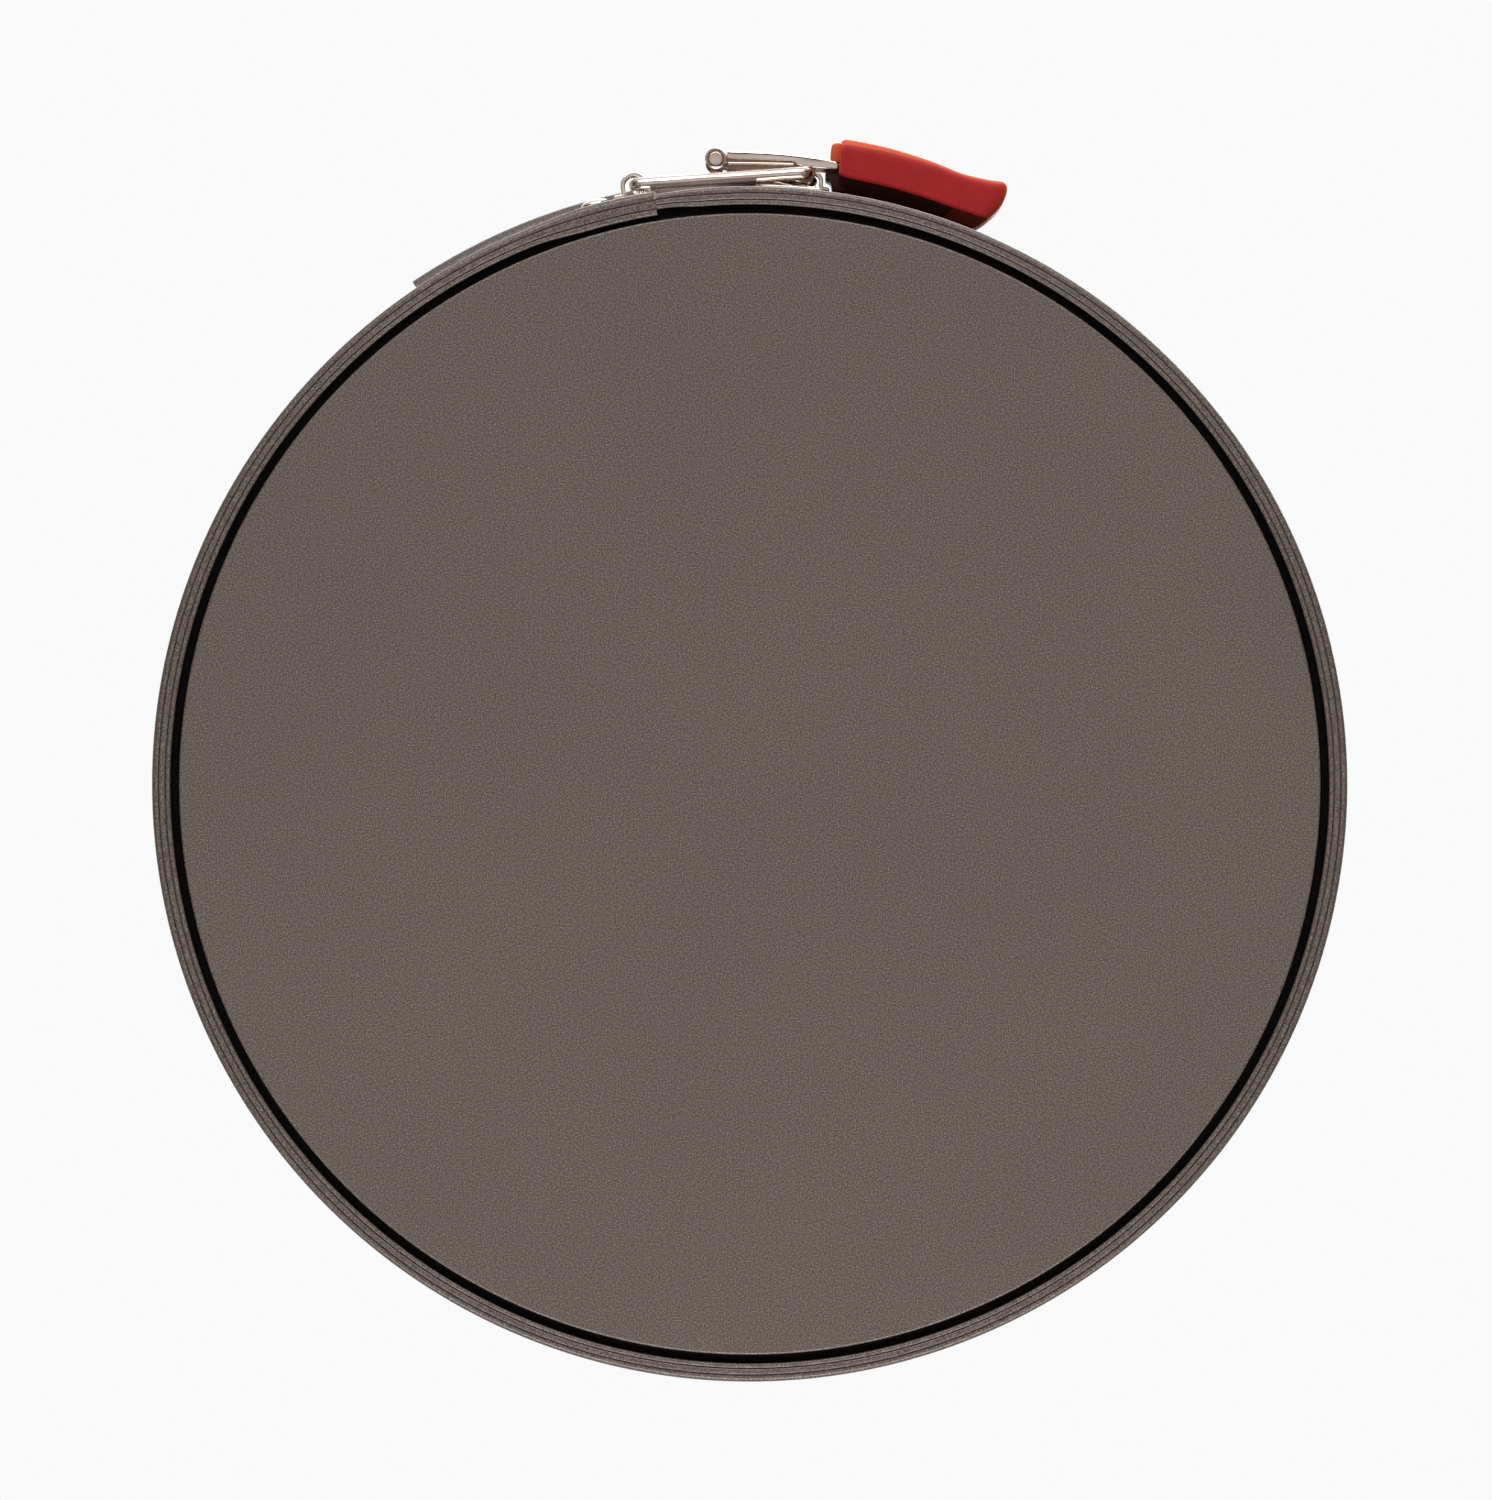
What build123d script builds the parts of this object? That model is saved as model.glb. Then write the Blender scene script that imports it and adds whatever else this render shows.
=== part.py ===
from build123d import *
import os
from math import atan2, cos, degrees, hypot, radians, sin

os.makedirs("parts", exist_ok=True)

# The pan stands on the XY plane with its axis on Z. The latch is on the -Y side. Millimetres and degrees.

# Base plate: a flat disc with a stepped flange round it
BASE_SHEET = 0.8
DISC_R = 114.3
DISC_EDGE_R = 0.9
FLANGE_R = 118.0
FLANGE_Z = 2.0

# Ring band: hemmed lip, crimp above the flange, slightly flared wall, rolled rim
HEIGHT = 70.0
SHEET = 0.6
WALL_R = 119.1
FLARE = 0.3
LIP_IN_R = 115.7
LIP_TOP_Z = 1.7
CRIMP_Z = 4.6
CRIMP_HALF = 2.0
CRIMP_DEPTH = 1.5
CRIMP_BEND_R = 0.8
ROLL_R = 1.35

# Where the band is divided, as angles from +X
BACK_HALF_ANGLE = 8.0
SEAM_ANGLE = 260.8
GAP_ANGLE = 0.15
LAP_ANGLE = 9.0
NESTED_ANGLE = 6.0
TONGUE_ANGLE = 3.5
LAP_STEP = 0.5
TONGUE_STEP = 0.9
LAP_LIP_R = 115.0
NESTED_LIP_R = 116.2
TONGUE_Z = (7.0, 66.0)

# Cover over the rim joint
SLEEVE_START_ANGLE = 236.1
SLEEVE_R = 2.6
SLEEVE_OFFSET = 0.3

# Latch pivots in plan, and the height of the latch's middle
LATCH_Z = 33.0
BAIL_BAR = (-22.9, -120.6)
LINK_BAR = (12.5, -121.5)
LEVER_PIVOT = (-6.85, -125.9)
BAIL_PIVOT = (11.3, -122.9)

# Riveted plates with their bridges
PLATE_HALF_HEIGHT = 16.0
PLATE_SHEET = 0.7
CATCH_PLATE_R = 119.9
CATCH_PLATE_ANGLES = (253.0, 260.5)
HINGE_PLATE_R = 119.75
HINGE_PLATE_ANGLES = (270.6, 277.4)
CATCH_RIVET_ANGLE = 255.0
CATCH_RIVET_RISE = 12.6
CATCH_HEAD_R = 2.7
CATCH_HEAD_HEIGHT = 1.1
HINGE_RIVET_ANGLE = 272.2
HINGE_RIVET_RISE = 8.0
HINGE_HEAD_R = 2.3
HINGE_HEAD_HEIGHT = 0.7
RIVET_SHANK_R = 1.5
RIVET_TAIL_R = 2.2
RIVET_TAIL_HEIGHT = 0.5
HOLE_CLEARANCE = 0.05

# Wires
BAIL_WIRE_R = 1.35
BAIL_BEND_R = 1.55
BAIL_HALF_WIDTH = 12.4
BAIL_STUB_HALF_WIDTH = 10.6
TIP_R = 1.1
TIP_SPAN = (8.9, 10.3)
LINK_WIRE_R = 1.1
LINK_HALF_WIDTH = 7.7
LINK_HEAD_R = 1.4
LINK_HEAD_SPAN = (10.4, 10.8)
LINK_BEND_R = 1.3

# Lever and grip
LEVER_SHEET = 0.8
LEVER_HALF_WIDTH = 10.1
TANG_HALF_WIDTH = 7.0
PIVOT_BOSS_R = 2.15
GRIP_HALF_WIDTH = 12.0
GRIP_EDGE_R = 1.6
GRIP_CORNER_R = 1.2
COLLAR_HALF_WIDTH = 9.2
GRIP_IN_R = 120.1


def section_plane(angle):
    """The upright plane through the pan's axis at this angle: local X is the radius, local Y is height."""
    a = radians(angle)
    return Plane(origin=(0, 0, 0), x_dir=(cos(a), sin(a), 0), z_dir=(sin(a), -cos(a), 0))


def radial_plane(angle, radius, height):
    """A plane facing outwards at this angle, radius and height."""
    a = radians(angle)
    origin = (radius * cos(a), radius * sin(a), height)
    return Plane(origin=origin, x_dir=(-sin(a), cos(a), 0), z_dir=(cos(a), sin(a), 0))


def tangent_plane(point, height):
    """A level plane at this point: local X runs along the band, local -Y points outwards."""
    x, y = point
    r = hypot(x, y)
    return Plane(origin=(x, y, height), x_dir=(-y / r, x / r, 0), z_dir=(0, 0, 1))


def lip_section(lip_in, lip_out):
    """The hemmed lip's cross-section: three rounded ribs underneath, flat on top."""
    groove_out = lip_out - 0.39 * (lip_out - lip_in)
    groove_in = lip_in + 0.28 * (lip_out - lip_in)
    mid = (groove_out + groove_in) / 2
    with BuildSketch() as section:
        with BuildLine():
            ThreePointArc((lip_out, 2.0), (lip_out - 0.35, 0.95), (groove_out + 0.15, 0.5))
            Polyline((groove_out + 0.15, 0.5), (groove_out, 0.65), (groove_out - 0.15, 0.5))
            ThreePointArc((groove_out - 0.15, 0.5), (mid, 0.4), (groove_in + 0.15, 0.5))
            Polyline((groove_in + 0.15, 0.5), (groove_in, 0.65), (groove_in - 0.15, 0.5))
            ThreePointArc((groove_in - 0.15, 0.5), (lip_in + 0.25, 0.65), (lip_in, 1.1))
            ThreePointArc((lip_in, 1.1), (lip_in + 0.15, 1.5), (lip_in + 0.5, LIP_TOP_Z))
            Line((lip_in + 0.5, LIP_TOP_Z), (WALL_R, LIP_TOP_Z))
            Line((WALL_R, LIP_TOP_Z), (WALL_R, 2.0))
            Line((WALL_R, 2.0), (lip_out, 2.0))
        make_face()
    return section.sketch


ROLL_Z = HEIGHT - ROLL_R - SHEET / 2
ROLL_X = WALL_R + FLARE + ROLL_R
with BuildSketch() as wall_section:
    with BuildLine() as wall_path:
        FilletPolyline(
            (WALL_R, 1.3),
            (WALL_R, CRIMP_Z - CRIMP_HALF),
            (WALL_R - CRIMP_DEPTH, CRIMP_Z),
            (WALL_R, CRIMP_Z + CRIMP_HALF),
            (ROLL_X - ROLL_R, ROLL_Z),
            radius=CRIMP_BEND_R,
        )
        CenterArc((ROLL_X, ROLL_Z), ROLL_R, 180, -285)
    trace(line_width=SHEET)

plain_lip = lip_section(LIP_IN_R, WALL_R + SHEET / 2)
lap_lip = lip_section(LAP_LIP_R, WALL_R + SHEET / 2 + LAP_STEP)
nested_lip = lip_section(NESTED_LIP_R, WALL_R + SHEET / 2)

with BuildPart() as base_plate:
    with BuildSketch(Plane.XZ) as base_profile:
        with BuildLine():
            Polyline((0, 0), (DISC_R - DISC_EDGE_R, 0))
            RadiusArc((DISC_R - DISC_EDGE_R, 0), (DISC_R, DISC_EDGE_R), -DISC_EDGE_R)
            Polyline(
                (DISC_R, DISC_EDGE_R),
                (DISC_R, FLANGE_Z),
                (FLANGE_R, FLANGE_Z),
                (FLANGE_R, FLANGE_Z + BASE_SHEET),
                (DISC_R - BASE_SHEET, FLANGE_Z + BASE_SHEET),
                (DISC_R - BASE_SHEET, BASE_SHEET),
                (0, BASE_SHEET),
                (0, 0),
            )
        make_face()
    revolve(axis=Axis.Z)
base_plate.part.label = "base_plate"
export_step(base_plate.part, "parts/base_plate.step")

with BuildPart() as band_back:
    with BuildSketch(section_plane(90 - BACK_HALF_ANGLE + GAP_ANGLE)):
        add(wall_section.sketch)
        add(plain_lip)
    revolve(axis=Axis.Z, revolution_arc=2 * (BACK_HALF_ANGLE - GAP_ANGLE))
band_back.part.label = "band_back"
export_step(band_back.part, "parts/band_back.step")

with BuildPart() as band_left:
    with BuildSketch(section_plane(90 + BACK_HALF_ANGLE)):
        add(wall_section.sketch)
    revolve(axis=Axis.Z, revolution_arc=SEAM_ANGLE - GAP_ANGLE - 90 - BACK_HALF_ANGLE)
    with BuildSketch(section_plane(90 + BACK_HALF_ANGLE)):
        add(plain_lip)
    revolve(axis=Axis.Z, revolution_arc=SEAM_ANGLE - LAP_ANGLE - 90 - BACK_HALF_ANGLE)
    with BuildSketch(section_plane(SEAM_ANGLE - LAP_ANGLE)):
        add(lap_lip)
    revolve(axis=Axis.Z, revolution_arc=LAP_ANGLE - GAP_ANGLE)
    for side in (-1, 1):
        with BuildSketch(radial_plane(CATCH_RIVET_ANGLE, WALL_R - 5, LATCH_Z + side * CATCH_RIVET_RISE)):
            Circle(RIVET_SHANK_R + HOLE_CLEARANCE)
        extrude(amount=10, mode=Mode.SUBTRACT)
band_left.part.label = "band_left"
export_step(band_left.part, "parts/band_left.step")

with BuildPart() as band_right:
    with BuildSketch(section_plane(SEAM_ANGLE + GAP_ANGLE)):
        add(wall_section.sketch)
    revolve(axis=Axis.Z, revolution_arc=360 + 90 - BACK_HALF_ANGLE - SEAM_ANGLE - GAP_ANGLE)
    with BuildSketch(section_plane(SEAM_ANGLE + NESTED_ANGLE)):
        add(plain_lip)
    revolve(axis=Axis.Z, revolution_arc=360 + 90 - BACK_HALF_ANGLE - SEAM_ANGLE - NESTED_ANGLE)
    with BuildSketch(section_plane(SEAM_ANGLE + GAP_ANGLE)):
        add(nested_lip)
    revolve(axis=Axis.Z, revolution_arc=NESTED_ANGLE - GAP_ANGLE)
    with BuildSketch(section_plane(SEAM_ANGLE - TONGUE_ANGLE)):
        with BuildLine():
            Line((WALL_R - TONGUE_STEP, TONGUE_Z[0]), (WALL_R - TONGUE_STEP + FLARE, TONGUE_Z[1]))
        trace(line_width=SHEET)
    revolve(axis=Axis.Z, revolution_arc=2 * TONGUE_ANGLE)
    with BuildSketch(section_plane(SEAM_ANGLE + GAP_ANGLE)):
        with BuildLine():
            Line((WALL_R - TONGUE_STEP / 2, TONGUE_Z[0]), (WALL_R - TONGUE_STEP / 2 + FLARE, TONGUE_Z[1]))
        trace(line_width=SHEET)
    revolve(axis=Axis.Z, revolution_arc=TONGUE_ANGLE)
    for side in (-1, 1):
        with BuildSketch(radial_plane(HINGE_RIVET_ANGLE, WALL_R - 5, LATCH_Z + side * HINGE_RIVET_RISE)):
            Circle(RIVET_SHANK_R + HOLE_CLEARANCE)
        extrude(amount=10, mode=Mode.SUBTRACT)
band_right.part.label = "band_right"
export_step(band_right.part, "parts/band_right.step")

with BuildPart() as rim_joint_sleeve:
    with BuildSketch(section_plane(SLEEVE_START_ANGLE)):
        with BuildLine():
            CenterArc(
                (ROLL_X + SLEEVE_OFFSET, ROLL_Z),
                SLEEVE_R,
                110,
                -190,
            )
        trace(line_width=SHEET)
    revolve(axis=Axis.Z, revolution_arc=SEAM_ANGLE - GAP_ANGLE - SLEEVE_START_ANGLE)
rim_joint_sleeve.part.label = "rim_joint_sleeve"
export_step(rim_joint_sleeve.part, "parts/rim_joint_sleeve.step")

# Catch plate: its bridge holds the bail's bar, which is drawn towards the lever
BRIDGE_R = 2.3
BRIDGE_SHEET = 0.9
BRIDGE_HALF_WIDTH = 9.0
BRIDGE_OFFSET = -0.4
with BuildPart() as catch_plate:
    with BuildSketch(section_plane(CATCH_PLATE_ANGLES[0])):
        with Locations((CATCH_PLATE_R + PLATE_SHEET / 2, LATCH_Z)):
            Rectangle(PLATE_SHEET, 2 * PLATE_HALF_HEIGHT)
    revolve(axis=Axis.Z, revolution_arc=CATCH_PLATE_ANGLES[1] - CATCH_PLATE_ANGLES[0])
    foot = hypot(*BAIL_BAR) - CATCH_PLATE_R - PLATE_SHEET / 2
    with BuildSketch(tangent_plane(BAIL_BAR, LATCH_Z - BRIDGE_HALF_WIDTH)):
        with BuildLine():
            Line((BRIDGE_OFFSET - BRIDGE_R, foot), (BRIDGE_OFFSET - BRIDGE_R, 0))
            CenterArc((BRIDGE_OFFSET, 0), BRIDGE_R, 180, 180)
            Line((BRIDGE_OFFSET + BRIDGE_R, 0), (BRIDGE_OFFSET + BRIDGE_R, foot))
        trace(line_width=BRIDGE_SHEET)
    extrude(amount=2 * BRIDGE_HALF_WIDTH)
    for side in (-1, 1):
        with BuildSketch(radial_plane(CATCH_RIVET_ANGLE, WALL_R - 5, LATCH_Z + side * CATCH_RIVET_RISE)):
            Circle(RIVET_SHANK_R + HOLE_CLEARANCE)
        extrude(amount=10, mode=Mode.SUBTRACT)
catch_plate.part.label = "catch_plate"
export_step(catch_plate.part, "parts/catch_plate.step")

# Hinge plate: its bridge holds the short link's bar
HINGE_BRIDGE_R = 1.75
HINGE_BRIDGE_SHEET = 0.8
HINGE_BRIDGE_HALF_WIDTH = 6.2
HINGE_BRIDGE_OFFSET = 0.15
with BuildPart() as hinge_plate:
    with BuildSketch(section_plane(HINGE_PLATE_ANGLES[0])):
        with Locations((HINGE_PLATE_R + PLATE_SHEET / 2, LATCH_Z)):
            Rectangle(PLATE_SHEET, 2 * PLATE_HALF_HEIGHT)
    revolve(axis=Axis.Z, revolution_arc=HINGE_PLATE_ANGLES[1] - HINGE_PLATE_ANGLES[0])
    foot = hypot(*LINK_BAR) - HINGE_PLATE_R - PLATE_SHEET / 2
    with BuildSketch(tangent_plane(LINK_BAR, LATCH_Z - HINGE_BRIDGE_HALF_WIDTH)):
        with BuildLine():
            Line((HINGE_BRIDGE_OFFSET - HINGE_BRIDGE_R, foot), (HINGE_BRIDGE_OFFSET - HINGE_BRIDGE_R, 0))
            CenterArc((HINGE_BRIDGE_OFFSET, 0), HINGE_BRIDGE_R, 180, 180)
            Line((HINGE_BRIDGE_OFFSET + HINGE_BRIDGE_R, 0), (HINGE_BRIDGE_OFFSET + HINGE_BRIDGE_R, foot))
        trace(line_width=HINGE_BRIDGE_SHEET)
    extrude(amount=2 * HINGE_BRIDGE_HALF_WIDTH)
    for side in (-1, 1):
        with BuildSketch(radial_plane(HINGE_RIVET_ANGLE, WALL_R - 5, LATCH_Z + side * HINGE_RIVET_RISE)):
            Circle(RIVET_SHANK_R + HOLE_CLEARANCE)
        extrude(amount=10, mode=Mode.SUBTRACT)
hinge_plate.part.label = "hinge_plate"
export_step(hinge_plate.part, "parts/hinge_plate.step")

# Rivets: a domed head on the plate, a shank through plate and wall, a flat tail inside
TAIL_TOP_R = WALL_R - SHEET / 2 - 0.1
RIVETS = (
    ("catch", CATCH_RIVET_ANGLE, CATCH_RIVET_RISE, CATCH_PLATE_R + PLATE_SHEET, CATCH_HEAD_R, CATCH_HEAD_HEIGHT),
    ("hinge", HINGE_RIVET_ANGLE, HINGE_RIVET_RISE, HINGE_PLATE_R + PLATE_SHEET, HINGE_HEAD_R, HINGE_HEAD_HEIGHT),
)
for kind, angle, rise, seat_r, head_r, head_height in RIVETS:
    for place, side in (("low", -1), ("high", 1)):
        height = LATCH_Z + side * rise
        with BuildPart() as rivet:
            with BuildSketch(radial_plane(angle, seat_r, height)):
                Circle(head_r)
            extrude(amount=head_height)
            crown = rivet.faces().sort_by(lambda f: hypot(f.center().X, f.center().Y))[-1]
            fillet(crown.edges(), head_height * 0.9)
            with BuildSketch(radial_plane(angle, TAIL_TOP_R, height)):
                Circle(RIVET_SHANK_R)
            extrude(amount=seat_r - TAIL_TOP_R)
            with BuildSketch(radial_plane(angle, TAIL_TOP_R, height)):
                Circle(RIVET_TAIL_R)
            extrude(amount=-RIVET_TAIL_HEIGHT)
        rivet.part.label = f"{kind}_rivet_{place}"
        export_step(rivet.part, f"parts/{kind}_rivet_{place}.step")

with BuildPart() as bail_wire:
    with BuildLine() as bail_path:
        FilletPolyline(
            (*BAIL_PIVOT, LATCH_Z - BAIL_STUB_HALF_WIDTH),
            (*BAIL_PIVOT, LATCH_Z - BAIL_HALF_WIDTH),
            (*BAIL_BAR, LATCH_Z - BAIL_HALF_WIDTH),
            (*BAIL_BAR, LATCH_Z + BAIL_HALF_WIDTH),
            (*BAIL_PIVOT, LATCH_Z + BAIL_HALF_WIDTH),
            (*BAIL_PIVOT, LATCH_Z + BAIL_STUB_HALF_WIDTH),
            radius=BAIL_BEND_R,
        )
    with BuildSketch(Plane(origin=bail_path.line @ 0, z_dir=bail_path.line % 0)):
        Circle(BAIL_WIRE_R)
    sweep()
bail_wire.part.label = "bail_wire"
export_step(bail_wire.part, "parts/bail_wire.step")

for place, side in (("low", -1), ("high", 1)):
    with BuildPart() as bail_tip:
        with BuildSketch(Plane.XY.offset(LATCH_Z + side * TIP_SPAN[0])):
            with Locations(BAIL_PIVOT):
                Circle(TIP_R)
        extrude(amount=side * (TIP_SPAN[1] - TIP_SPAN[0]))
    bail_tip.part.label = f"bail_tip_{place}"
    export_step(bail_tip.part, f"parts/bail_tip_{place}.step")

with BuildPart() as short_link:
    with BuildLine() as link_path:
        FilletPolyline(
            (*LEVER_PIVOT, LATCH_Z - LINK_HEAD_SPAN[1]),
            (*LEVER_PIVOT, LATCH_Z - LINK_HALF_WIDTH),
            (*LINK_BAR, LATCH_Z - LINK_HALF_WIDTH),
            (*LINK_BAR, LATCH_Z + LINK_HALF_WIDTH),
            (*LEVER_PIVOT, LATCH_Z + LINK_HALF_WIDTH),
            (*LEVER_PIVOT, LATCH_Z + LINK_HEAD_SPAN[1]),
            radius=LINK_BEND_R,
        )
    with BuildSketch(Plane(origin=link_path.line @ 0, z_dir=link_path.line % 0)):
        Circle(LINK_WIRE_R)
    sweep()
    for side in (-1, 1):
        with BuildSketch(Plane.XY.offset(LATCH_Z + side * LINK_HEAD_SPAN[0])):
            with Locations(LEVER_PIVOT):
                Circle(LINK_HEAD_R)
        extrude(amount=side * (LINK_HEAD_SPAN[1] - LINK_HEAD_SPAN[0]))
short_link.part.label = "short_link"
export_step(short_link.part, "parts/short_link.step")

# Lever: a web with two flanges that carry the pivots, and a narrower tang that runs into the grip
WEB_POINTS = ((-4.0, -127.05), (5.6, -126.6), (14.0, -125.6))
TANG_POINTS = ((13.5, -125.67), (18.0, -124.8), (30.0, -122.0), (42.0, -117.6))
FLANGE_POINTS = (
    (-6.85, -128.0),
    (-4.0, -127.45),
    (5.6, -127.0),
    (14.0, -126.0),
    (17.2, -125.4),
    (17.9, -124.4),
    (17.4, -123.65),
    (13.2, -124.0),
    (12.8, -121.3),
    (10.9, -120.85),
    (-6.85, -123.75),
)
with BuildPart() as lever:
    with BuildSketch(Plane.XY.offset(LATCH_Z - LEVER_HALF_WIDTH)):
        with BuildLine():
            Spline(*WEB_POINTS)
        trace(line_width=LEVER_SHEET)
    extrude(amount=2 * LEVER_HALF_WIDTH)
    with BuildSketch(Plane.XY.offset(LATCH_Z - TANG_HALF_WIDTH)):
        with BuildLine():
            Spline(*TANG_POINTS)
        trace(line_width=LEVER_SHEET)
    extrude(amount=2 * TANG_HALF_WIDTH)
    for bottom in (LATCH_Z - LEVER_HALF_WIDTH, LATCH_Z + LEVER_HALF_WIDTH - LEVER_SHEET):
        with BuildSketch(Plane.XY.offset(bottom)):
            with BuildLine():
                Polyline(*FLANGE_POINTS, close=True)
            make_face()
            with Locations(LEVER_PIVOT, BAIL_PIVOT):
                Circle(PIVOT_BOSS_R)
            with Locations(LEVER_PIVOT):
                Circle(LINK_WIRE_R + HOLE_CLEARANCE, mode=Mode.SUBTRACT)
            with Locations(BAIL_PIVOT):
                Circle(TIP_R + HOLE_CLEARANCE, mode=Mode.SUBTRACT)
        extrude(amount=LEVER_SHEET)
lever.part.label = "lever"
export_step(lever.part, "parts/lever.step")

# Grip: a soft sleeve over the tang, hollowed to lie along the wall, with a collar and a curled end
GRIP_BACK = ((18.9, -129.9), (28.8, -127.9), (36.6, -125.4), (42.4, -123.0), (47.4, -121.7), (51.4, -121.3))
GRIP_END = ((52.0, -119.2), (49.9, -115.2))
GRIP_TIP_X = 44.6
GRIP_MOUTH_X = 17.7
GRIP_TIP = (GRIP_TIP_X, -(GRIP_IN_R**2 - GRIP_TIP_X**2) ** 0.5)
GRIP_MOUTH = (GRIP_MOUTH_X, -(GRIP_IN_R**2 - GRIP_MOUTH_X**2) ** 0.5)
with BuildPart() as silicone_grip:
    with BuildSketch(Plane.XY.offset(LATCH_Z - GRIP_HALF_WIDTH)) as grip_profile:
        with BuildLine():
            Spline(*GRIP_BACK)
            Spline(GRIP_BACK[-1], *GRIP_END, GRIP_TIP)
            RadiusArc(GRIP_TIP, GRIP_MOUTH, GRIP_IN_R)
            Line(GRIP_MOUTH, GRIP_BACK[0])
        make_face()
        fillet(grip_profile.vertices(), GRIP_CORNER_R)
    extrude(amount=2 * GRIP_HALF_WIDTH)
    fillet(silicone_grip.faces().sort_by(Axis.Z)[0].edges(), GRIP_EDGE_R)
    fillet(silicone_grip.faces().sort_by(Axis.Z)[-1].edges(), GRIP_EDGE_R)
    with BuildSketch(Plane.XY.offset(LATCH_Z - COLLAR_HALF_WIDTH)):
        with BuildLine():
            Polyline((16.3, -129.0), (19.6, -129.0), (19.6, -119.0), (16.3, -119.2), close=True)
        make_face()
    extrude(amount=2 * COLLAR_HALF_WIDTH)
    with BuildSketch(Plane.XY.offset(LATCH_Z - TANG_HALF_WIDTH - HOLE_CLEARANCE)):
        with BuildLine():
            Spline(*TANG_POINTS[:-1], (42.3, -117.5))
        trace(line_width=LEVER_SHEET + 2 * HOLE_CLEARANCE)
    extrude(amount=2 * (TANG_HALF_WIDTH + HOLE_CLEARANCE), mode=Mode.SUBTRACT)
silicone_grip.part.label = "silicone_grip"
export_step(silicone_grip.part, "parts/silicone_grip.step")
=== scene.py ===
import math

import bmesh
import bpy
from mathutils import Matrix, Vector


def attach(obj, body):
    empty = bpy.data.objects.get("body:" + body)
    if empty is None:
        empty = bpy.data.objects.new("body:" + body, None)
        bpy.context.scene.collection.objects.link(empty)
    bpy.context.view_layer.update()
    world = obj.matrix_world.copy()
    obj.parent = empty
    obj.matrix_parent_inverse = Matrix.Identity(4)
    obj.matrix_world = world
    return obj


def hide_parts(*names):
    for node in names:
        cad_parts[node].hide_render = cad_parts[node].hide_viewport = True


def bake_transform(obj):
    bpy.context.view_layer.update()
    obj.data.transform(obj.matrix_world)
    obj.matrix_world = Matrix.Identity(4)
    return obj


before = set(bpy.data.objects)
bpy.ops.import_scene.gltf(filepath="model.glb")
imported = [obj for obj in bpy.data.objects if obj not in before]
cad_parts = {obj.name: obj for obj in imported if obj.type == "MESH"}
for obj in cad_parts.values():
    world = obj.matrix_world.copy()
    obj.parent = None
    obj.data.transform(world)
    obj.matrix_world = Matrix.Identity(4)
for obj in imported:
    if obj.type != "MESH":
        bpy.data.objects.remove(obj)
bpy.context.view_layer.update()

MM = 0.001

# ------------------------------------------------------------------ dimensions, in millimetres and degrees
# base: the disc's round edge, the step up from it and the flange
DISC_R = 113.95
DISC_EDGE_R = 0.45
BASE_SHEET = 0.8
BEND_R = 0.5
STEP_R = DISC_R - BASE_SHEET
FLANGE_R = 118.0
FLANGE_Z = 2.0
FLANGE_HALF = BASE_SHEET / 2
FLANGE_TOP_Z = FLANGE_Z + BASE_SHEET

# ring: sheet, wall, rolled rim, crimp and lip
SHEET = 0.6
WALL_R = 119.1
FLARE = 0.3
HEIGHT = 70.0
ROLL_R = 1.35
CRIMP_Z = 4.6
CRIMP_HALF = 2.0
CRIMP_DEPTH = 1.5
LIP_TOP_Z = 1.7
LIP_IN_R = 115.7
ROLL_Z = HEIGHT - ROLL_R - SHEET / 2
ROLL_X = WALL_R + FLARE + ROLL_R

# ring's ends: the lips that lap at the seam, the tongue inside the wall and the cover on the rim
LAP_LIP_R = 115.0
NESTED_LIP_R = 116.2
SEAM_ANGLE = 260.8
GAP_ANGLE = 0.02
BACK_ANGLE = 90.0
BAND_STEP = 0.75
TONGUE_REACH = 3.4
TONGUE_INSET = 0.9
TONGUE_Z = 7.2
TONGUE_HEIGHT = 58.6
SLEEVE_START_ANGLE = 236.1
SLEEVE_R = 2.6

# latch: pivots in plan, plates, rivets, wires and lever
LATCH_Z = 33.0
BAIL_BAR = (-22.9, -120.6)
LINK_BAR = (12.5, -121.5)
LEVER_PIVOT = (-6.85, -125.9)
BAIL_PIVOT = (11.3, -122.9)
PLATE_SHEET = 0.7
PLATE_HALF = 16.0
PLATE_CORNER_R = 2.2
CATCH_PLATE_R = 119.9
CATCH_TOP_R = 120.6
HINGE_PLATE_R = 119.75
HINGE_TOP_R = 120.45
RIVET_SHANK_R = 1.45
BAIL_WIRE_R = 1.34
BAIL_BEND_R = 1.6
LINK_WIRE_R = 1.1
LINK_BEND_R = 1.4
LEVER_SHEET = 0.8
LEVER_HALF = 10.1
CHEEK_IN = 9.3
TANG_HALF = 7.0

# grip: sizes in plan, and how far its painted shade and painted light reach from its back and its mouth
GRIP_IN_R = 120.15
GRIP_HALF = 12.0
GRIP_LENGTH = 33.0
GRIP_DEPTH = 9.5
SHELF_SPAN = 3.1
SHELF_DEPTH = 4.6
SHADE_FROM = 6.39
SHADE_TO = 25.5
LIT_TO = 0.9


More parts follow.
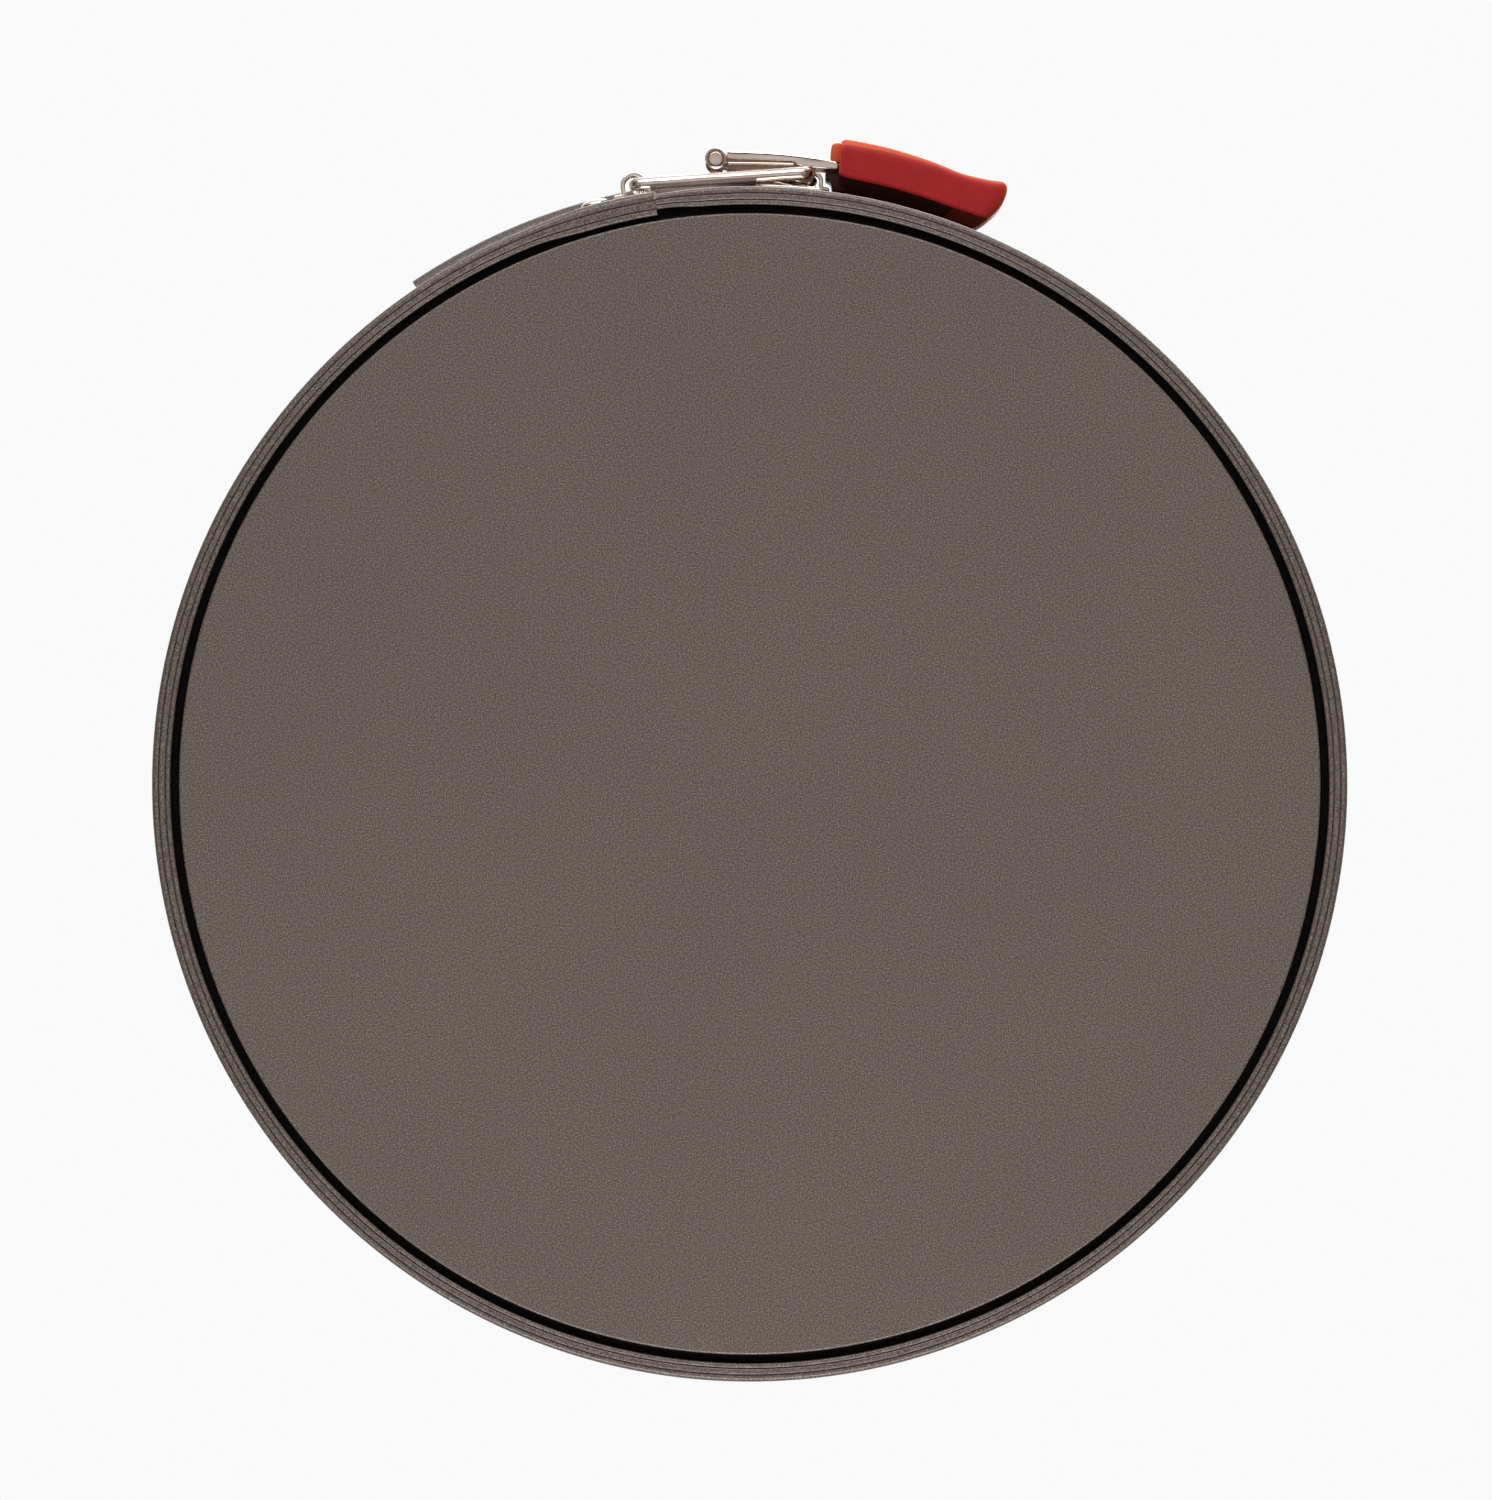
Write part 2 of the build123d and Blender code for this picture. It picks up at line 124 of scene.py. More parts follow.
# ------------------------------------------------------------------ mesh helpers
def new_object(name, verts, faces, material, sharp=35.0):
    """A smooth-shaded mesh object from points in millimetres."""
    mesh = bpy.data.meshes.new(name)
    mesh.from_pydata([tuple(c * MM for c in v) for v in verts], [], faces)
    mesh.validate()
    bm = bmesh.new()
    bm.from_mesh(mesh)
    bmesh.ops.remove_doubles(bm, verts=bm.verts, dist=1e-7)
    bmesh.ops.recalc_face_normals(bm, faces=bm.faces)
    bm.to_mesh(mesh)
    bm.free()
    mesh.shade_smooth()
    mesh.set_sharp_from_angle(angle=math.radians(sharp))
    obj = bpy.data.objects.new(name, mesh)
    bpy.context.scene.collection.objects.link(obj)
    mesh.materials.append(material)
    return obj


def arc(cx, cy, r, a0, a1, n):
    """Points on a circle's arc from angle a0 to a1."""
    return [
        (
            cx + r * math.cos(math.radians(a0 + (a1 - a0) * i / n)),
            cy + r * math.sin(math.radians(a0 + (a1 - a0) * i / n)),
        )
        for i in range(n + 1)
    ]


def bezier(p0, p1, p2, n):
    """Points on a quadratic curve."""
    out = []
    for i in range(n + 1):
        t = i / n
        a, b, c = (1 - t) ** 2, 2 * t * (1 - t), t * t
        out.append((a * p0[0] + b * p1[0] + c * p2[0], a * p0[1] + b * p1[1] + c * p2[1]))
    return out


def smooth_line(points, n):
    """A Catmull-Rom curve through the points, n steps to each span."""
    pts = [Vector(p) for p in points]
    pts = [2 * pts[0] - pts[1], *pts, 2 * pts[-1] - pts[-2]]
    out = []
    for i in range(1, len(pts) - 2):
        p0, p1, p2, p3 = pts[i - 1 : i + 3]
        for k in range(n):
            t = k / n
            square = (2 * p0 - 5 * p1 + 4 * p2 - p3) * t * t
            cube = (3 * p1 - p0 - 3 * p2 + p3) * t**3
            out.append(0.5 * (2 * p1 + (p2 - p0) * t + square + cube))
    out.append(pts[-2])
    return [tuple(p) for p in out]


def sheet_sides(path, thickness):
    """The two sides of a sheet whose middle follows the path: left of travel, then right."""
    left, right = [], []
    for i, p in enumerate(path):
        a = Vector(path[max(i - 1, 0)])
        b = Vector(path[min(i + 1, len(path) - 1)])
        d = (b - a).normalized()
        n = Vector((-d.y, d.x)) * thickness / 2
        left.append((p[0] + n.x, p[1] + n.y))
        right.append((p[0] - n.x, p[1] - n.y))
    return left, right


def sheet_outline(path, thickness, round_steps=4):
    """A closed outline of a sheet with rounded ends."""
    left, right = sheet_sides(path, thickness)
    out = list(left)
    for end, before, side in ((path[-1], path[-2], 1), (path[0], path[1], -1)):
        d = (Vector(end) - Vector(before)).normalized()
        a = math.degrees(math.atan2(d.y, d.x))
        cap = arc(end[0], end[1], thickness / 2, a + 90, a - 90, round_steps)[1:-1]
        if side > 0:
            out += cap + list(reversed(right))
        else:
            out += cap
    return out


def turned(name, outlines, angles, material, full=False, sharp=35.0):
    """Outlines of (radius, height) swung to their angles about Z and joined up."""
    verts, faces = [], []
    n = len(outlines[0])
    for outline, angle in zip(outlines, angles):
        c, s = math.cos(math.radians(angle)), math.sin(math.radians(angle))
        verts += [(r * c, r * s, z) for r, z in outline]
    rings = len(angles)
    for k in range(rings if full else rings - 1):
        for i in range(n):
            j = (i + 1) % n
            a, b = k * n, ((k + 1) % rings) * n
            faces.append((a + i, a + j, b + j, b + i))
    if not full:
        faces.append(tuple(range(n)))
        faces.append(tuple((rings - 1) * n + i for i in reversed(range(n))))
    return new_object(name, verts, faces, material, sharp)


def revolved(name, line, material, steps=360, sharp=35.0):
    """An open line of (radius, height), from axis to axis, revolved fully."""
    verts, faces = [], []
    rows = []
    for r, z in line:
        if r < 1e-6:
            rows.append([len(verts)])
            verts.append((0, 0, z))
        else:
            rows.append(list(range(len(verts), len(verts) + steps)))
            for k in range(steps):
                a = 2 * math.pi * k / steps
                verts.append((r * math.cos(a), r * math.sin(a), z))
    for lower, upper in zip(rows, rows[1:]):
        for k in range(steps):
            m = (k + 1) % steps
            if len(lower) == 1:
                faces.append((lower[0], upper[m], upper[k]))
            elif len(upper) == 1:
                faces.append((lower[k], lower[m], upper[0]))
            else:
                faces.append((lower[k], lower[m], upper[m], upper[k]))
    return new_object(name, verts, faces, material, sharp)


def prism(name, outline, z0, z1, material, edge=0.15, sharp=35.0):
    """An outline in plan, extruded from z0 to z1, with its rims rounded by edge."""
    n = len(outline)
    outward = []
    for i in range(n):
        a, b, c = (Vector(outline[(i + k) % n]) for k in (-1, 0, 1))
        d1, d2 = (b - a).normalized(), (c - b).normalized()
        normal = Vector((d1.y + d2.y, -d1.x - d2.x))
        normal.normalize()
        outward.append(normal / max(0.5, normal.dot(Vector((d1.y, -d1.x)))))
    area = sum(a[0] * b[1] - b[0] * a[1] for a, b in zip(outline, outline[1:] + outline[:1]))
    turn = 1 if area > 0 else -1
    levels = []
    for k in range(4):
        a = math.radians(90 * k / 3)
        levels.append((edge * (1 - math.sin(a)), z0 + edge * (1 - math.cos(a))))
    levels += [(inset, z0 + z1 - z) for inset, z in reversed(levels)]
    verts, faces = [], []
    for inset, z in levels:
        verts += [
            (p[0] - turn * q.x * inset, p[1] - turn * q.y * inset, z) for p, q in zip(outline, outward)
        ]
    for k in range(len(levels) - 1):
        for i in range(n):
            j = (i + 1) % n
            faces.append((k * n + i, k * n + j, (k + 1) * n + j, (k + 1) * n + i))
    faces.append(tuple(reversed(range(n))))
    faces.append(tuple((len(levels) - 1) * n + i for i in range(n)))
    return new_object(name, verts, faces, material, sharp)


def filleted(points, radius, steps=6):
    """A path through the points, with its corners rounded."""
    pts = [Vector(p) for p in points]
    out = [pts[0]]
    for a, b, c in zip(pts, pts[1:], pts[2:]):
        d1, d2 = (a - b).normalized(), (c - b).normalized()
        half = math.acos(max(-1, min(1, d1.dot(d2)))) / 2
        back = radius / math.tan(half)
        start, end = b + d1 * back, b + d2 * back
        centre = b + (d1 + d2).normalized() * radius / math.sin(half)
        u, v = start - centre, end - centre
        total = math.acos(max(-1, min(1, u.normalized().dot(v.normalized()))))
        for k in range(steps + 1):
            t = k / steps
            w = (math.sin((1 - t) * total) * u + math.sin(t * total) * v) / math.sin(total)
            out.append(centre + w)
    out.append(pts[-1])
    return out


def wire(name, path, radius, material, around=28, end_round=0.35):
    """A round wire along the path, with softened ends."""
    pts = [Vector(p) for p in path]
    frames = []
    side = None
    for i, p in enumerate(pts):
        t = (pts[min(i + 1, len(pts) - 1)] - pts[max(i - 1, 0)]).normalized()
        side = side if side is not None else t.orthogonal()
        side = (side - t * side.dot(t)).normalized()
        frames.append((p, t, side.copy()))
    softened = []
    for k in range(5):
        a = math.radians(22.5 * k)
        softened.append((end_round * (1 - math.sin(a)), end_round * (1 - math.cos(a))))
    sections = [(frames[0], shy, radius - drop) for drop, shy in softened]
    sections += [(f, 0.0, radius) for f in frames[1:-1]]
    sections += [(frames[-1], -shy, radius - drop) for drop, shy in reversed(softened)]
    verts, faces = [], []
    for (centre, t, s), along, r in sections:
        other = t.cross(s)
        for j in range(around):
            a = 2 * math.pi * j / around
            verts.append(tuple(centre + t * along + (s * math.cos(a) + other * math.sin(a)) * r))
    rows = len(sections)
    for k in range(rows - 1):
        for j in range(around):
            m = (j + 1) % around
            faces.append((k * around + j, k * around + m, (k + 1) * around + m, (k + 1) * around + j))
    faces.append(tuple(reversed(range(around))))
    faces.append(tuple((rows - 1) * around + j for j in range(around)))
    return new_object(name, verts, faces, material, 40)


def finished(piece, body, slot, *cad_nodes):
    """The piece rides on a body and stands for its CAD nodes, which it hides; slot is not used."""
    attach(piece, body)
    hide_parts(*cad_nodes)


def joined(name, objects):
    """Several objects as one piece."""
    bpy.ops.object.select_all(action="DESELECT")
    for o in objects:
        o.select_set(True)
    bpy.context.view_layer.objects.active = objects[0]
    bpy.ops.object.join()
    out = bpy.context.view_layer.objects.active
    out.name = name
    out.data.name = name
    return out


# ------------------------------------------------------------------ materials
def emptied(tree):
    """A node tree's nodes and links, with the nodes cleared."""
    tree.nodes.clear()
    return tree.nodes, tree.links


def add_node(nodes, kind, inputs=(), **settings):
    """A new node with its settings and then its input values."""
    node = nodes.new(kind)
    for key, value in settings.items():
        setattr(node, key, value)
    for key, value in dict(inputs).items():
        node.inputs[key].default_value = value
    return node


def add_noise(nodes, scale, detail=2.0, **inputs):
    """A noise texture of this scale and detail."""
    return add_node(nodes, "ShaderNodeTexNoise", {"Scale": scale, "Detail": detail, **inputs})


def add_range(nodes, low, high, start=0.0, stop=1.0):
    """Values from start to stop mapped to values from low to high."""
    inputs = {"From Min": start, "From Max": stop, "To Min": low, "To Max": high}
    return add_node(nodes, "ShaderNodeMapRange", inputs)


def add_bump(nodes, strength, distance):
    """A bump of this strength and depth, in metres."""
    return add_node(nodes, "ShaderNodeBump", {"Strength": strength, "Distance": distance})


def add_ramp(nodes, stops):
    """A colour ramp through stops of (position, red, green, blue)."""
    ramp = nodes.new("ShaderNodeValToRGB")
    elements = ramp.color_ramp.elements
    for element, (position, *colour) in zip(elements, (stops[0], stops[-1])):
        element.position = position
        element.color = (*colour, 1)
    for position, *colour in stops[1:-1]:
        elements.new(position).color = (*colour, 1)
    return ramp


def connect(links, *routes):
    """Each route goes from a node's output to a node's input."""
    for source, output, target, name in routes:
        links.new(source.outputs[output], target.inputs[name])


def new_surface(name, shader_inputs):
    """A material with one shader: the material, its nodes and links, the shader and the coordinates."""
    material = bpy.data.materials.new(name)
    material.use_nodes = True
    nodes, links = emptied(material.node_tree)
    out = nodes.new("ShaderNodeOutputMaterial")
    shader = add_node(nodes, "ShaderNodeBsdfPrincipled", shader_inputs)
    links.new(shader.outputs["BSDF"], out.inputs["Surface"])
    return material, nodes, links, shader, nodes.new("ShaderNodeTexCoord")


def coated_steel(name, tone=1.08, shine=0.5):
    """Dark warm grey non-stick coating with fine metallic flakes."""
    material, nodes, links, shader, coords = new_surface(
        name, {"Metallic": 0.35, "Specular IOR Level": shine}
    )
    flakes = add_noise(nodes, 3300.0, 4.0, Roughness=0.85)
    flake_stops = (
        (0.39, 0.036 * tone, 0.028 * tone, 0.025 * tone),
        (0.50, 0.092 * tone, 0.075 * tone, 0.067 * tone),
        (0.61, 0.225 * tone, 0.190 * tone, 0.170 * tone),
    )
    ramp = add_ramp(nodes, flake_stops)
    clouds = add_noise(nodes, 16.0, 4.0)
    cloud_range = add_range(nodes, 0.955, 1.045, start=0.3, stop=0.7)
    shade = add_node(
        nodes, "ShaderNodeMix", {"Factor": 1.0}, data_type="RGBA", blend_type="MULTIPLY"
    )
    cells = add_node(nodes, "ShaderNodeTexVoronoi", {"Scale": 1500.0})
    rough = add_range(nodes, 0.32, 0.50)
    bump = add_bump(nodes, 0.30, 0.00006)
    connect(
        links,
        (coords, "Object", flakes, "Vector"),
        (coords, "Object", clouds, "Vector"),
        (coords, "Object", cells, "Vector"),
        (flakes, "Fac", ramp, "Fac"),
        (clouds, "Fac", cloud_range, "Value"),
        (ramp, "Color", shade, "A"),
        (cloud_range, "Result", shade, "B"),
        (shade, "Result", shader, "Base Color"),
        (cells, "Distance", rough, "Value"),
        (rough, "Result", shader, "Roughness"),
        (flakes, "Fac", bump, "Height"),
        (bump, "Normal", shader, "Normal"),
    )
    return material


def plated_steel(name, tone=1.0):
    """Bright nickel plating, a little warm, with faint drawing lines and a gentle swell."""
    material, nodes, links, shader, coords = new_surface(name, {"Metallic": 1.0})
    red, green, blue = tone, tone**1.3, tone**1.5
    stretch = add_node(nodes, "ShaderNodeMapping", {"Scale": (120.0, 900.0, 900.0)})
    lines = add_noise(nodes, 1.0, 5.0)
    tint_stops = (
        (0.3, 0.64 * red, 0.55 * green, 0.49 * blue),
        (0.7, 0.86 * red, 0.79 * green, 0.74 * blue),
    )
    tint = add_ramp(nodes, tint_stops)
    rough = add_range(nodes, 0.10, 0.26)
    bump = add_bump(nodes, 0.12, 0.00005)
    swell_stretch = add_node(nodes, "ShaderNodeMapping", {"Scale": (45.0, 420.0, 120.0)})
    swell = add_noise(nodes, 1.0, 1.0)
    wavy = add_bump(nodes, 0.5, 0.0005)
    connect(
        links,
        (coords, "Object", swell_stretch, "Vector"),
        (swell_stretch, "Vector", swell, "Vector"),
        (swell, "Fac", wavy, "Height"),
        (wavy, "Normal", bump, "Normal"),
        (coords, "Object", stretch, "Vector"),
        (stretch, "Vector", lines, "Vector"),
        (lines, "Fac", tint, "Fac"),
        (lines, "Fac", rough, "Value"),
        (lines, "Fac", bump, "Height"),
        (tint, "Color", shader, "Base Color"),
        (rough, "Result", shader, "Roughness"),
        (bump, "Normal", shader, "Normal"),
    )
    return material


def red_silicone(name, tone=1.0, warm=0.0):
    """Matte red silicone with a painted sheen: it turns orange towards its outline, where it is seen at a
    grazing angle; warm adds painted light, more orange, to the whole colour.
    """
    shader_inputs = {
        "Specular IOR Level": 0.28,
        "Subsurface Weight": 0.12,
        "Subsurface Radius": (0.004, 0.001, 0.0006),
        "Subsurface Scale": 1.0,
    }
    material, nodes, links, shader, coords = new_surface(name, shader_inputs)
    more_red, more_green, more_blue = 0.16 * warm, 0.07 * warm, 0.022 * warm
    mottle = add_noise(nodes, 240.0, 6.0)
    body_stops = (
        (0.3, (0.36 + more_red) * tone, (0.010 + more_green) * tone, (0.014 + more_blue) * tone),
        (0.7, (0.43 + more_red) * tone, (0.014 + more_green) * tone, (0.018 + more_blue) * tone),
    )
    body = add_ramp(nodes, body_stops)
    # Painted sheen: orange mixed in towards grazing angles.
    graze = add_node(nodes, "ShaderNodeLayerWeight", {"Blend": 0.66})
    orange = (0.78 * tone, 0.10 * tone, 0.022 * tone, 1)
    edge = add_node(nodes, "ShaderNodeMix", {"B": orange}, data_type="RGBA")
    pores = add_noise(nodes, 2600.0, 3.0)
    bump = add_bump(nodes, 0.15, 0.00005)
    rough = add_range(nodes, 0.42, 0.60)
    connect(
        links,
        (coords, "Object", mottle, "Vector"),
        (coords, "Object", pores, "Vector"),
        (mottle, "Fac", body, "Fac"),
        (body, "Color", edge, "A"),
        (graze, "Facing", edge, "Factor"),
        (edge, "Result", shader, "Base Color"),
        (mottle, "Fac", rough, "Value"),
        (rough, "Result", shader, "Roughness"),
        (pores, "Fac", bump, "Height"),
        (bump, "Normal", shader, "Normal"),
    )
    return material


COATING = coated_steel("coated_steel")
# A near-black copy of the coating: painted shade for the groove round the disc.
PAINTED_SHADE_COATING = coated_steel("coated_steel_painted_shade", tone=0.03, shine=0.05)
PLATING = plated_steel("plated_steel")
# A dark copy of the plating: painted shade for the lever's recessed inner plate and pivot boss.
SHADED_PLATING = plated_steel("plated_steel_painted_shade", tone=0.32)
SILICONE = red_silicone("red_silicone")
# Copies of the silicone that carry painted light and shade: near-black painted shade, orange painted light,
# and a less dark painted shade for the tip.
SHADED_SILICONE = red_silicone("red_silicone_painted_shade", tone=0.06)
LIT_SILICONE = red_silicone("red_silicone_painted_light", warm=1.0)
TIP_SHADED_SILICONE = red_silicone("red_silicone_tip_painted_shade", tone=0.3)


# ------------------------------------------------------------------ base
base_line = [(DISC_R * k / 12, 0.0) for k in range(12)]
base_line += arc(DISC_R - DISC_EDGE_R, DISC_EDGE_R, DISC_EDGE_R, -90, 0, 8)
base_line += arc(DISC_R + BEND_R, FLANGE_Z - BEND_R, BEND_R, 180, 90, 5)
base_line += arc(FLANGE_R - FLANGE_HALF, FLANGE_Z + FLANGE_HALF, FLANGE_HALF, -90, 90, 8)
base_line += arc(STEP_R + BEND_R, FLANGE_TOP_Z - BEND_R, BEND_R, 90, 180, 5)
base_line += arc(STEP_R - BEND_R, BASE_SHEET + BEND_R, BEND_R, 0, -90, 5)
base_line += [((STEP_R - BEND_R) * k / 12, BASE_SHEET) for k in range(11, -1, -1)]
base = revolved("base_disc", base_line, COATING)
base.data.materials.append(PAINTED_SHADE_COATING)
# Faces past the disc's edge and below the flange's middle take the near-black copy, painted shade in the
# groove between disc and lip.
for polygon in base.data.polygons:
    c = polygon.center
    beyond_disc = math.hypot(c.x, c.y) > (DISC_R + 0.02) * MM
    if beyond_disc and c.z < (FLANGE_Z + FLANGE_HALF) * MM:
        polygon.material_index = 1
finished(base, "base", "coated_steel", "base_plate")


# ------------------------------------------------------------------ ring band
def band_outline(lip_in, step_out=0.0, step_wall=0.0):
    """The band's closed section: hemmed lip, crimp, wall and rolled rim."""
    wall = WALL_R + step_wall
    path = [(wall, LIP_TOP_Z + 0.3)]
    steps = 16
    for k in range(steps + 1):
        z = CRIMP_Z - CRIMP_HALF + 2 * CRIMP_HALF * k / steps
        dip = CRIMP_DEPTH * (0.5 - 0.5 * math.cos(2 * math.pi * k / steps))
        path.append((wall - dip, z))
    for k in range(1, 12):
        t = k / 12
        path.append((wall + FLARE * t, CRIMP_Z + CRIMP_HALF + (ROLL_Z - CRIMP_Z - CRIMP_HALF) * t))
    path += arc(ROLL_X + step_wall, ROLL_Z, ROLL_R, 180, -105, 28)
    left, right = sheet_sides(path, SHEET)
    out = left + list(reversed(right))
    edge = wall + SHEET / 2 + step_out
    width = edge - lip_in
    groove_out = edge - 0.37 * width
    groove_in = lip_in + 0.27 * width
    middle = (groove_out + groove_in) / 2
    ribs = bezier((edge, 2.0), (edge, 0.30), (groove_out + 0.22, 0.48), 12)
    ribs += [(groove_out + 0.10, 0.62), (groove_out, 0.92), (groove_out - 0.08, 0.66)]
    ribs += bezier((groove_out - 0.16, 0.54), (middle, 0.36), (groove_in + 0.18, 0.60), 8)
    ribs += [(groove_in + 0.08, 0.76), (groove_in, 0.95), (groove_in - 0.08, 0.72)]
    ribs += bezier((groove_in - 0.14, 0.56), (lip_in + 0.05, 0.22), (lip_in, 1.1), 10)
    ribs += bezier((lip_in, 1.15), (lip_in, LIP_TOP_Z), (lip_in + 0.5, LIP_TOP_Z), 4)[1:]
    ribs += [(wall - SHEET / 2 - 0.3, LIP_TOP_Z)]
    return out + ribs


def eased(t):
    """A smooth step from 0 to 1."""
    t = max(0.0, min(1.0, t))
    return t * t * (3 - 2 * t)


def mixed(a, b, t):
    """An outline this share of the way from one outline to another."""
    return [(p[0] * (1 - t) + q[0] * t, p[1] * (1 - t) + q[1] * t) for p, q in zip(a, b)]


PLAIN = band_outline(LIP_IN_R)
LAP = band_outline(LAP_LIP_R, step_out=0.45)
NESTED = band_outline(NESTED_LIP_R, step_out=-0.1)


def spread_angles(a0, a1, step):
    """Even angles from a0 to a1, no farther apart than step."""
    n = max(2, math.ceil(abs(a1 - a0) / step))
    return [a0 + (a1 - a0) * k / n for k in range(n + 1)]


def past_seam(angle, start, span):
    """0 up to start degrees past the seam, then eased to 1 over the span."""
    return eased((angle - SEAM_ANGLE - start) / span)


left_angles = spread_angles(BACK_ANGLE, SEAM_ANGLE - GAP_ANGLE, BAND_STEP)
left_outlines = [mixed(LAP, PLAIN, eased((SEAM_ANGLE - 7.0 - a) / 6.0)) for a in left_angles]
band_left = turned("ring_left_half", left_outlines, left_angles, COATING)
right_angles = spread_angles(SEAM_ANGLE + GAP_ANGLE, BACK_ANGLE + 360.0, BAND_STEP)
right_outlines = [mixed(NESTED, PLAIN, past_seam(a, 1.0, 3.5)) for a in right_angles]
right_half = turned("ring_right_half", right_outlines, right_angles, COATING)

tongue_angles = spread_angles(SEAM_ANGLE - TONGUE_REACH, SEAM_ANGLE + 4.0, 0.5)
tongue_outlines = []
for angle in tongue_angles:
    radius = WALL_R - TONGUE_INSET + 0.75 * past_seam(angle, 1.0, 2.6)
    line = [(radius + FLARE * k / 10, TONGUE_Z + TONGUE_HEIGHT * k / 10) for k in range(11)]
    tongue_outlines.append(sheet_outline(line, SHEET))
tongue = turned("tongue", tongue_outlines, tongue_angles, COATING)
tab_angles = spread_angles(SEAM_ANGLE - 1.2, SEAM_ANGLE + 1.2, 0.3)
tab_outline = [(116.6, 1.76), (118.4, 1.76), (118.4, 1.94), (116.6, 1.94)]
lip_tab = turned("lip_tab", [tab_outline] * len(tab_angles), tab_angles, COATING)
band_right = joined("ring_right_half", [right_half, tongue, lip_tab])

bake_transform(band_left)
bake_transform(band_right)
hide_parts("band_left", "band_back")
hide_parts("band_right")

sleeve_outline = sheet_outline(arc(ROLL_X + 0.3, ROLL_Z, SLEEVE_R, 110, -80, 26), SHEET)
sleeve_angles = spread_angles(SLEEVE_START_ANGLE, SEAM_ANGLE - GAP_ANGLE, BAND_STEP)
sleeve = turned("rim_joint_cover", [sleeve_outline] * len(sleeve_angles), sleeve_angles, COATING)
finished(sleeve, "ring_left", "coated_steel", "rim_joint_sleeve")


# ------------------------------------------------------------------ riveted plates
def curved_plate(name, radius, thickness, angles, half_height, corner, material):
    """A plate bent to the wall, with rounded corners."""
    cols, rows = 28, 32
    a0, a1 = angles
    width = math.radians(a1 - a0) * radius

    def place(u, v, r):
        x, z = (u - 0.5) * width, (v - 0.5) * 2 * half_height
        limit_x, limit_z = width / 2 - corner, half_height - corner
        dx, dz = max(0.0, abs(x) - limit_x), max(0.0, abs(z) - limit_z)
        if dx > 0 and dz > 0:
            reach = max(dx, dz)
            length = math.hypot(dx, dz)
            x = math.copysign(limit_x + dx * reach / length, x)
            z = math.copysign(limit_z + dz * reach / length, z)
        a = math.radians((a0 + a1) / 2) + x / radius
        return (r * math.cos(a), r * math.sin(a), LATCH_Z + z)

    verts, faces = [], []
    n = (cols + 1) * (rows + 1)

    def at(layer, i, j):
        return layer * n + j * (cols + 1) + i

    for r in (radius, radius + thickness):
        for j in range(rows + 1):
            for i in range(cols + 1):
                verts.append(place(i / cols, j / rows, r))
    for j in range(rows):
        for i in range(cols):
            faces.append((at(0, i, j), at(0, i, j + 1), at(0, i + 1, j + 1), at(0, i + 1, j)))
            faces.append((at(1, i, j), at(1, i + 1, j), at(1, i + 1, j + 1), at(1, i, j + 1)))
    rim = [(i, 0) for i in range(cols)] + [(cols, j) for j in range(rows)]
    rim += [(i, rows) for i in range(cols, 0, -1)] + [(0, j) for j in range(rows, 0, -1)]
    for (i, j), (p, q) in zip(rim, rim[1:] + rim[:1]):
        faces.append((at(0, i, j), at(0, p, q), at(1, p, q), at(1, i, j)))
    obj = new_object(name, verts, faces, material)
    bevel = obj.modifiers.new("edge", "BEVEL")
    bevel.width = 0.15 * MM
    bevel.segments = 2
    bevel.limit_method = "ANGLE"
    bevel.angle_limit = math.radians(50)
    return obj


def local_to_plan(point, s, out):
    """A point s along the band and out from the pan, measured from this point, in plan."""
    x, y = point
    r = math.hypot(x, y)
    along = Vector((-y / r, x / r))
    outward = Vector((x / r, y / r))
    return tuple(Vector(point) + along * s + outward * out)


def bridge(name, bar, offset, radius, thickness, half_width, plate_top):
    """A strip raised in a loop over the bar, with small feet on the plate."""
    depth = math.hypot(*bar) - plate_top - thickness / 2
    foot = 0.9
    left, right = offset - radius, offset + radius
    path = [(left - foot - 0.9, -depth), (left - foot, -depth)]
    path += bezier((left - foot, -depth), (left, -depth), (left, -depth + foot), 6)[1:]
    path += arc(offset, 0, radius, 180, 0, 22)
    path += bezier((right, -depth + foot), (right, -depth), (right + foot, -depth), 6)
    path += [(right + foot + 0.5, -depth)]
    outline = [local_to_plan(bar, s, out) for s, out in sheet_outline(path, thickness)]
    return prism(name, outline, LATCH_Z - half_width, LATCH_Z + half_width, PLATING, edge=0.2)


def rivet(name, angle, radius, height, head_r, rise, material):
    """A domed rivet head on a plate, with its shank and flat tail."""
    profile = [(0.0, rise)]
    for k in range(1, 10):
        a = math.radians(10 * k)
        profile.append((head_r * math.sin(a), 0.12 + (rise - 0.12) * math.cos(a)))
    profile += [(head_r, 0.0), (RIVET_SHANK_R, 0.0), (RIVET_SHANK_R, -1.55)]
    profile += [(2.1, -1.6), (2.2, -1.75), (2.05, -1.95), (1.6, -2.05), (0.0, -2.1)]
    obj = revolved(name, profile, material, steps=40, sharp=50)
    a = math.radians(angle)
    outward = Vector((math.cos(a), math.sin(a), 0))
    turn = outward.to_track_quat("Z", "Y").to_matrix().to_4x4()
    obj.data.transform(Matrix.Translation((outward * radius + Vector((0, 0, height))) * MM) @ turn)
    return obj


